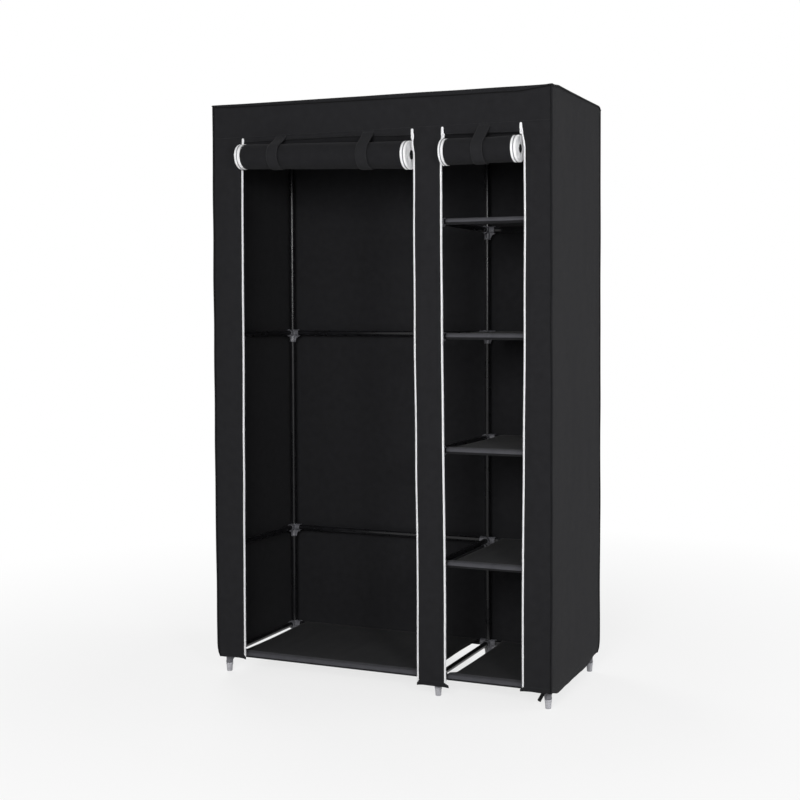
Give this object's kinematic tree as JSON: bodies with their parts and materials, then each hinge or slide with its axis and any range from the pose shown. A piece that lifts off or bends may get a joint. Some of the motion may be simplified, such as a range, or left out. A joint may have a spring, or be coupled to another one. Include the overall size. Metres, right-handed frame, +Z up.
{
  "type": "portable fabric wardrobe",
  "caption": "Free-standing steel-tube wardrobe in a black cloth cover with two zipped roll-up doors, a wide hanging bay and a narrow bay of cloth shelves.",
  "frame": {"origin": "on the floor, under the middle of the whole wardrobe's outline, rolls and straps included", "axes": "+Z up; the doors face -Y; +X is to the right of someone who stands in front"},
  "size_m": [1.1, 0.511, 1.75],
  "materials": {
    "cover_cloth": "matt non-woven cloth",
    "door_cloth": "matt non-woven cloth",
    "strap_cloth": "matt non-woven cloth, hemmed",
    "shelf_cloth": "matt non-woven cloth with a dot emboss",
    "coated_steel": "satin black coating",
    "grey_plastic": "moulded, fine grain",
    "zip_tape": "woven tape with moulded coil",
    "zip_plastic": "moulded, satin gloss"
  },
  "bodies": {
    "root": {"left_end_frame": "coated_steel", "middle_frame": "coated_steel", "right_end_frame": "coated_steel", "wide_front_rail_bottom": "coated_steel", "wide_front_rail_top": "coated_steel", "wide_back_rail_bottom": "coated_steel", "wide_back_rail_second": "coated_steel", "wide_back_rail_fourth": "coated_steel", "wide_back_rail_top": "coated_steel", "narrow_front_rail_bottom": "coated_steel", "narrow_front_rail_second": "coated_steel", "narrow_front_rail_third": "coated_steel", "narrow_front_rail_fourth": "coated_steel", "narrow_front_rail_fifth": "coated_steel", "narrow_front_rail_top": "coated_steel", "narrow_back_rail_bottom": "coated_steel", "narrow_back_rail_second": "coated_steel", "narrow_back_rail_third": "coated_steel", "narrow_back_rail_fourth": "coated_steel", "narrow_back_rail_fifth": "coated_steel", "narrow_back_rail_top": "coated_steel", "hanging_rail": "coated_steel", "foot_front_left": "grey_plastic", "foot_front_middle": "grey_plastic", "foot_front_right": "grey_plastic", "foot_back_left": "grey_plastic", "foot_back_middle": "grey_plastic", "foot_back_right": "grey_plastic", "wide_shelf_bottom": "shelf_cloth", "narrow_shelf_bottom": "shelf_cloth", "narrow_shelf_second": "shelf_cloth", "narrow_shelf_third": "shelf_cloth", "narrow_shelf_fourth": "shelf_cloth", "narrow_shelf_fifth": "shelf_cloth", "cover_top": "cover_cloth", "cover_left_side": "cover_cloth", "cover_right_side": "cover_cloth", "cover_back": "cover_cloth", "cover_front": "cover_cloth", "wide_strap_left": "strap_cloth", "wide_strap_right": "strap_cloth", "narrow_strap": "strap_cloth", "wide_zip_left_tape": "zip_tape", "wide_zip_right_tape": "zip_tape", "narrow_zip_left_tape": "zip_tape", "narrow_zip_right_tape": "zip_tape"},
    "wide_door": {"wide_door_roll": "door_cloth", "wide_zip_winding_left": "zip_tape", "wide_zip_winding_right": "zip_tape"},
    "narrow_door": {"narrow_door_roll": "door_cloth", "narrow_zip_winding_left": "zip_tape", "narrow_zip_winding_right": "zip_tape"},
    "wide_zip_left_slider": {"wide_zip_left_slider": "zip_plastic"},
    "wide_zip_left_pull_tab": {"wide_zip_left_pull_tab": "zip_plastic"},
    "wide_zip_right_slider": {"wide_zip_right_slider": "zip_plastic"},
    "wide_zip_right_pull_tab": {"wide_zip_right_pull_tab": "zip_plastic"},
    "narrow_zip_left_slider": {"narrow_zip_left_slider": "zip_plastic"},
    "narrow_zip_left_pull_tab": {"narrow_zip_left_pull_tab": "zip_plastic"},
    "narrow_zip_right_slider": {"narrow_zip_right_slider": "zip_plastic"},
    "narrow_zip_right_pull_tab": {"narrow_zip_right_pull_tab": "zip_plastic"}
  },
  "joints": [
    {"name": "wide_door_drop", "type": "slide", "parent": "root", "child": "wide_door", "axis": [0, 0, -1], "range_m": [0, 1.48], "deforming": ["wide_strap_left", "wide_strap_right"]},
    {"name": "narrow_door_drop", "type": "slide", "parent": "root", "child": "narrow_door", "axis": [0, 0, -1], "range_m": [0, 1.48], "deforming": ["narrow_strap"]},
    {"name": "wide_zip_left_travel", "type": "slide", "parent": "root", "child": "wide_zip_left_slider", "axis": [0, 0, -1], "range_m": [0, 1.54]},
    {"name": "wide_zip_left_tab_hinge", "type": "hinge", "parent": "wide_zip_left_slider", "child": "wide_zip_left_pull_tab", "pos_m": [-0.4395, -0.1976, 1.621], "axis": [1, 0, 0], "range_deg": [0, 172]},
    {"name": "wide_zip_right_travel", "type": "slide", "parent": "root", "child": "wide_zip_right_slider", "axis": [0, 0, -1], "range_m": [0, 1.54]},
    {"name": "wide_zip_right_tab_hinge", "type": "hinge", "parent": "wide_zip_right_slider", "child": "wide_zip_right_pull_tab", "pos_m": [0.1335, -0.1976, 1.621], "axis": [1, 0, 0], "range_deg": [0, 172]},
    {"name": "narrow_zip_left_travel", "type": "slide", "parent": "root", "child": "narrow_zip_left_slider", "axis": [0, 0, -1], "range_m": [0, 1.54]},
    {"name": "narrow_zip_left_tab_hinge", "type": "hinge", "parent": "narrow_zip_left_slider", "child": "narrow_zip_left_pull_tab", "pos_m": [0.2195, -0.1976, 1.621], "axis": [1, 0, 0], "range_deg": [0, 172]},
    {"name": "narrow_zip_right_travel", "type": "slide", "parent": "root", "child": "narrow_zip_right_slider", "axis": [0, 0, -1], "range_m": [0, 1.54]},
    {"name": "narrow_zip_right_tab_hinge", "type": "hinge", "parent": "narrow_zip_right_slider", "child": "narrow_zip_right_pull_tab", "pos_m": [0.4635, -0.1976, 1.621], "axis": [1, 0, 0], "range_deg": [0, 172]}
  ]
}
